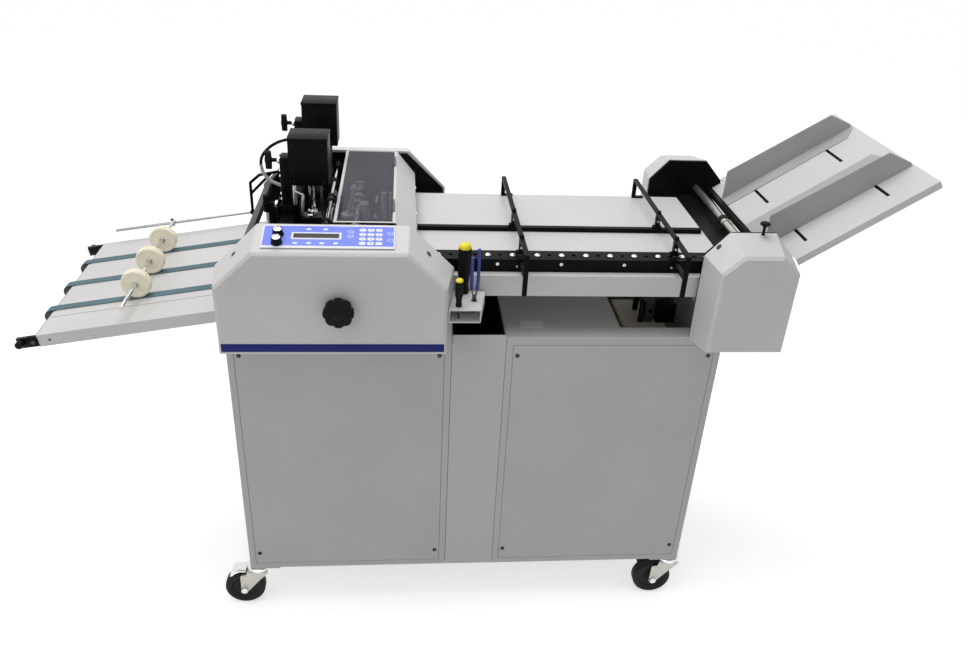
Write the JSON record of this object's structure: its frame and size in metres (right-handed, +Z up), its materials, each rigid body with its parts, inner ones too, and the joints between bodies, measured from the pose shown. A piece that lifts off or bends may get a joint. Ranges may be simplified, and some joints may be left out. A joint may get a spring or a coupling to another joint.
{
  "type": "paper numbering machine",
  "caption": "Floor-standing sheet numbering and scoring machine: sloping feed tray, register table with hold-down bars, numbering heads, belt delivery, cabinets on casters.",
  "frame": {"origin": "centre of the bounding box, on the floor", "axes": "+X from the delivery to the feed tray, +Y from the operator side to the rear, +Z up"},
  "size_m": [1.892, 0.6806, 1.1855],
  "materials": {
    "grey_paint": "fine-textured powder coat",
    "pale_paint": "fine-textured powder coat",
    "black_paint": "satin black",
    "black_plastic": "moulded",
    "rubber": "tyre tread",
    "zinc": "bright zinc plate",
    "chrome": "polished",
    "steel": "turned",
    "belt_cloth": "woven belt with rubber face",
    "ivory": "moulded",
    "smoked_clear": "smoked acrylic",
    "panel_blue": "membrane film",
    "khaki_paint": "hammer paint",
    "yellow_plastic": "moulded",
    "grip_blue": "dipped grips"
  },
  "bodies": {
    "machine": {"left_cabinet": "grey_paint", "left_panel": "grey_paint", "middle_bin": "grey_paint", "right_cabinet": "grey_paint", "right_panel": "grey_paint", "air_pump": "khaki_paint", "drive_motor": "steel", "unit_frame": "black_paint", "front_cover": "pale_paint", "rear_cover": "pale_paint", "control_panel": "panel_blue", "hood": "pale_paint", "register_table": "pale_paint", "ball_rail": "black_paint", "feed_frame": "black_paint", "feed_front_cover": "pale_paint", "feed_rear_cover": "pale_paint", "feed_tray": "pale_paint", "delivery_bed": "pale_paint", "delivery_belt_1": "belt_cloth", "delivery_belt_2": "belt_cloth", "delivery_belt_3": "belt_cloth", "ride_rod": "chrome", "tool_holder": "pale_paint"},
    "caster_front_left": {"caster_fork_front_left": "zinc"},
    "wheel_front_left": {"caster_wheel_front_left": "rubber"},
    "caster_rear_left": {"caster_fork_rear_left": "zinc"},
    "wheel_rear_left": {"caster_wheel_rear_left": "rubber"},
    "caster_front_right": {"caster_fork_front_right": "zinc"},
    "wheel_front_right": {"caster_wheel_front_right": "rubber"},
    "caster_rear_right": {"caster_fork_rear_right": "zinc"},
    "wheel_rear_right": {"caster_wheel_rear_right": "rubber"},
    "main_shaft": {"main_shaft": "steel", "hand_wheel": "black_plastic"},
    "score_shaft": {"score_shaft": "steel"},
    "speed_knob_1": {"speed_knob_1": "black_plastic"},
    "speed_knob_2": {"speed_knob_2": "black_plastic"},
    "head_front": {"head_front": "black_paint"},
    "plunger_front": {"plunger_front": "steel"},
    "clamp_knob_front": {"clamp_knob_front": "black_plastic"},
    "head_rear": {"head_rear": "black_paint"},
    "plunger_rear": {"plunger_rear": "steel"},
    "clamp_knob_rear": {"clamp_knob_rear": "black_plastic"},
    "lid": {"clear_lid": "smoked_clear"},
    "middle_rail": {"middle_rail": "black_paint"},
    "hold_down_left": {"hold_down_left": "black_paint"},
    "hold_down_right": {"hold_down_right": "black_paint"},
    "feed_roller": {"feed_roller": "chrome"},
    "adjuster_knob": {"adjuster_knob": "black_plastic"},
    "guide_front": {"guide_front": "grey_paint"},
    "guide_rear": {"guide_rear": "grey_paint"},
    "delivery_drive": {"delivery_drive_roller": "steel"},
    "delivery_idler": {"delivery_idler": "steel"},
    "ride_shaft": {"ride_shaft": "chrome"},
    "ride_wheel_1": {"ride_wheel_1": "ivory"},
    "ride_wheel_2": {"ride_wheel_2": "ivory"},
    "ride_wheel_3": {"ride_wheel_3": "ivory"},
    "large_screwdriver": {"large_screwdriver": "yellow_plastic"},
    "small_screwdriver": {"small_screwdriver": "yellow_plastic"},
    "pliers": {"pliers": "grip_blue"}
  },
  "joints": [
    {"name": "swivel_front_left", "type": "hinge", "parent": "machine", "child": "caster_front_left", "pos_m": [-0.50887, -0.203, 0.12], "axis": [0, 0, 1], "continuous": true},
    {"name": "roll_front_left", "type": "hinge", "parent": "caster_front_left", "child": "wheel_front_left", "pos_m": [-0.54587, -0.203, 0.04957], "axis": [0, 1, 0], "continuous": true},
    {"name": "swivel_rear_left", "type": "hinge", "parent": "machine", "child": "caster_rear_left", "pos_m": [-0.50887, 0.228, 0.12], "axis": [0, 0, 1], "continuous": true},
    {"name": "roll_rear_left", "type": "hinge", "parent": "caster_rear_left", "child": "wheel_rear_left", "pos_m": [-0.54587, 0.228, 0.04957], "axis": [0, 1, 0], "continuous": true},
    {"name": "swivel_front_right", "type": "hinge", "parent": "machine", "child": "caster_front_right", "pos_m": [0.54173, -0.203, 0.12], "axis": [0, 0, 1], "continuous": true},
    {"name": "roll_front_right", "type": "hinge", "parent": "caster_front_right", "child": "wheel_front_right", "pos_m": [0.50473, -0.203, 0.04957], "axis": [0, 1, 0], "continuous": true},
    {"name": "swivel_rear_right", "type": "hinge", "parent": "machine", "child": "caster_rear_right", "pos_m": [0.54173, 0.228, 0.12], "axis": [0, 0, 1], "continuous": true},
    {"name": "roll_rear_right", "type": "hinge", "parent": "caster_rear_right", "child": "wheel_rear_right", "pos_m": [0.50473, 0.228, 0.04957], "axis": [0, 1, 0], "continuous": true},
    {"name": "main_spin", "type": "hinge", "parent": "machine", "child": "main_shaft", "pos_m": [-0.27587, 0.0125, 0.901], "axis": [0, 1, 0], "continuous": true},
    {"name": "score_spin", "type": "hinge", "parent": "machine", "child": "score_shaft", "pos_m": [-0.20387, 0.0125, 0.901], "axis": [0, 1, 0], "continuous": true},
    {"name": "speed_knob_1_turn", "type": "hinge", "parent": "machine", "child": "speed_knob_1", "pos_m": [-0.39137, -0.28623, 1.02743], "axis": [0, -0.2476, 0.9689], "range_deg": [-135, 135]},
    {"name": "speed_knob_2_turn", "type": "hinge", "parent": "machine", "child": "speed_knob_2", "pos_m": [-0.39137, -0.26104, 1.03387], "axis": [0, -0.2476, 0.9689], "range_deg": [-135, 135]},
    {"name": "head_front_slide", "type": "slide", "parent": "machine", "child": "head_front", "axis": [0, 1, 0], "range_m": [-0.09, 0.09]},
    {"name": "plunger_front_stroke", "type": "slide", "parent": "head_front", "child": "plunger_front", "axis": [0, 0, 1], "range_m": [-0.01, 0], "stiffness_N_per_m": 1500, "springref_m": 0.012},
    {"name": "clamp_knob_front_turn", "type": "hinge", "parent": "head_front", "child": "clamp_knob_front", "pos_m": [-0.40087, -0.095, 1.129], "axis": [1, 0, 0], "range_deg": [-180, 180]},
    {"name": "head_rear_slide", "type": "slide", "parent": "machine", "child": "head_rear", "axis": [0, 1, 0], "range_m": [-0.09, 0.03]},
    {"name": "plunger_rear_stroke", "type": "slide", "parent": "head_rear", "child": "plunger_rear", "axis": [0, 0, 1], "range_m": [-0.01, 0], "stiffness_N_per_m": 1500, "springref_m": 0.012},
    {"name": "clamp_knob_rear_turn", "type": "hinge", "parent": "head_rear", "child": "clamp_knob_rear", "pos_m": [-0.40087, 0.174, 1.129], "axis": [1, 0, 0], "range_deg": [-180, 180]},
    {"name": "lid_hinge", "type": "hinge", "parent": "machine", "child": "lid", "pos_m": [-0.16937, 0.0125, 1.0481], "axis": [0, 1, 0], "range_deg": [0, 100]},
    {"name": "middle_rail_slide", "type": "slide", "parent": "machine", "child": "middle_rail", "axis": [0, 1, 0], "range_m": [-0.09, 0.18]},
    {"name": "hold_down_left_slide", "type": "slide", "parent": "machine", "child": "hold_down_left", "axis": [1, 0, 0], "range_m": [-0.07, 0.1]},
    {"name": "hold_down_right_slide", "type": "slide", "parent": "machine", "child": "hold_down_right", "axis": [1, 0, 0], "range_m": [-0.1, 0.03]},
    {"name": "feed_spin", "type": "hinge", "parent": "machine", "child": "feed_roller", "pos_m": [0.60413, 0.0125, 0.965], "axis": [0, 1, 0], "continuous": true},
    {"name": "adjuster_turn", "type": "hinge", "parent": "machine", "child": "adjuster_knob", "pos_m": [0.58913, -0.2383, 1.06], "axis": [0, 0, 1], "range_deg": [-180, 180]},
    {"name": "guide_front_slide", "type": "slide", "parent": "machine", "child": "guide_front", "axis": [0, 1, 0], "range_m": [-0.06, 0.06]},
    {"name": "guide_rear_slide", "type": "slide", "parent": "machine", "child": "guide_rear", "axis": [0, 1, 0], "range_m": [-0.06, 0.06]},
    {"name": "delivery_drive_spin", "type": "hinge", "parent": "machine", "child": "delivery_drive", "pos_m": [-0.46963, 0.0125, 0.84414], "axis": [0, 1, 0], "continuous": true},
    {"name": "delivery_idler_spin", "type": "hinge", "parent": "machine", "child": "delivery_idler", "pos_m": [-0.91105, 0.0125, 0.77162], "axis": [0, 1, 0], "continuous": true},
    {"name": "ride_lift", "type": "hinge", "parent": "machine", "child": "ride_shaft", "pos_m": [-0.72483, 0.236, 0.85025], "axis": [-0.9868, 0, -0.1621], "range_deg": [0, 60]},
    {"name": "ride_wheel_1_spin", "type": "hinge", "parent": "ride_shaft", "child": "ride_wheel_1", "pos_m": [-0.72483, -0.104, 0.85025], "axis": [0, 1, 0], "continuous": true},
    {"name": "ride_wheel_2_spin", "type": "hinge", "parent": "ride_shaft", "child": "ride_wheel_2", "pos_m": [-0.72483, 0.016, 0.85025], "axis": [0, 1, 0], "continuous": true},
    {"name": "ride_wheel_3_spin", "type": "hinge", "parent": "ride_shaft", "child": "ride_wheel_3", "pos_m": [-0.72483, 0.136, 0.85025], "axis": [0, 1, 0], "continuous": true},
    {"name": "large_screwdriver_lift", "type": "slide", "parent": "machine", "child": "large_screwdriver", "axis": [0, 0, 1], "range_m": [0, 0.105]},
    {"name": "small_screwdriver_lift", "type": "slide", "parent": "machine", "child": "small_screwdriver", "axis": [0, 0, 1], "range_m": [0, 0.095]},
    {"name": "pliers_lift", "type": "slide", "parent": "machine", "child": "pliers", "axis": [0, 0, 1], "range_m": [0, 0.055]}
  ],
  "couplings": [
    {"joint": "score_spin", "follows": "main_spin", "ratio": -1},
    {"joint": "delivery_idler_spin", "follows": "delivery_drive_spin", "ratio": 1}
  ]
}
